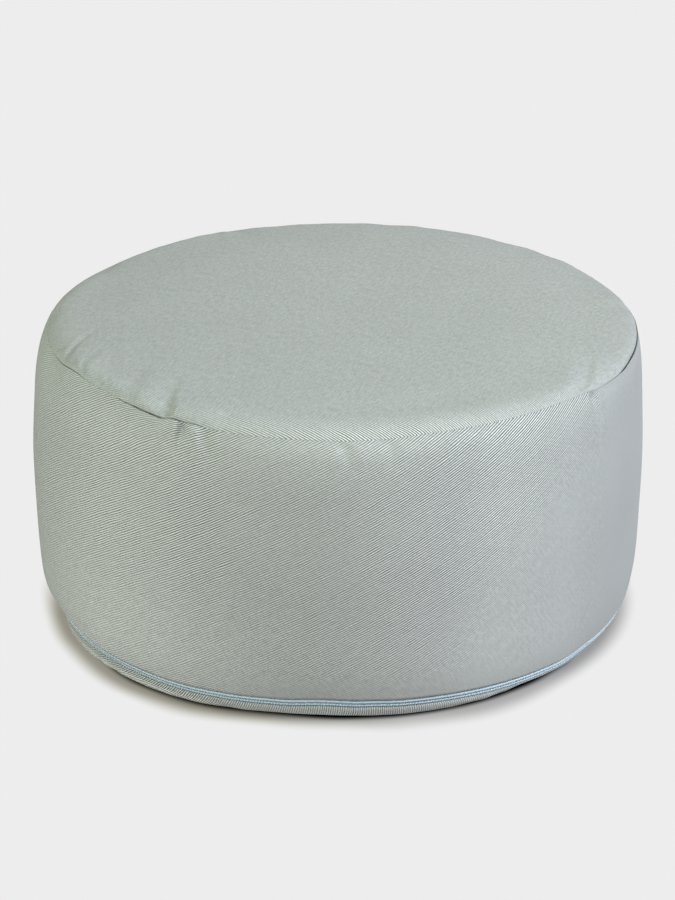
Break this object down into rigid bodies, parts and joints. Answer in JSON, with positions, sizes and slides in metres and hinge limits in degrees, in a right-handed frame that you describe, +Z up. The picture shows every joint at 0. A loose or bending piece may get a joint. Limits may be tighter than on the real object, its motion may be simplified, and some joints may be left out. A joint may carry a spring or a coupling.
{
  "type": "meditation cushion",
  "caption": "Round drum-shaped meditation cushion in sage green twill, with a puckered top seam and a pale blue coil zip round its flat foot.",
  "frame": {"origin": "middle of the flat foot, on the surface that the cushion lies on", "axes": "+Z up through the crown, -Y towards the front, where the middle of the zip is, +X to the right seen from the front"},
  "size_m": [0.2996, 0.3003, 0.154],
  "materials": {
    "twill": "matt cotton twill with a soft sheen",
    "zip": "pale blue polyester tape and coil",
    "slider": "enamelled to match the zip"
  },
  "bodies": {
    "root": {"cushion": "twill", "zip_stringer_upper": "zip", "zip_stringer_lower": "zip", "zip_slider": "slider", "zip_pull": "slider"}
  },
  "joints": []
}
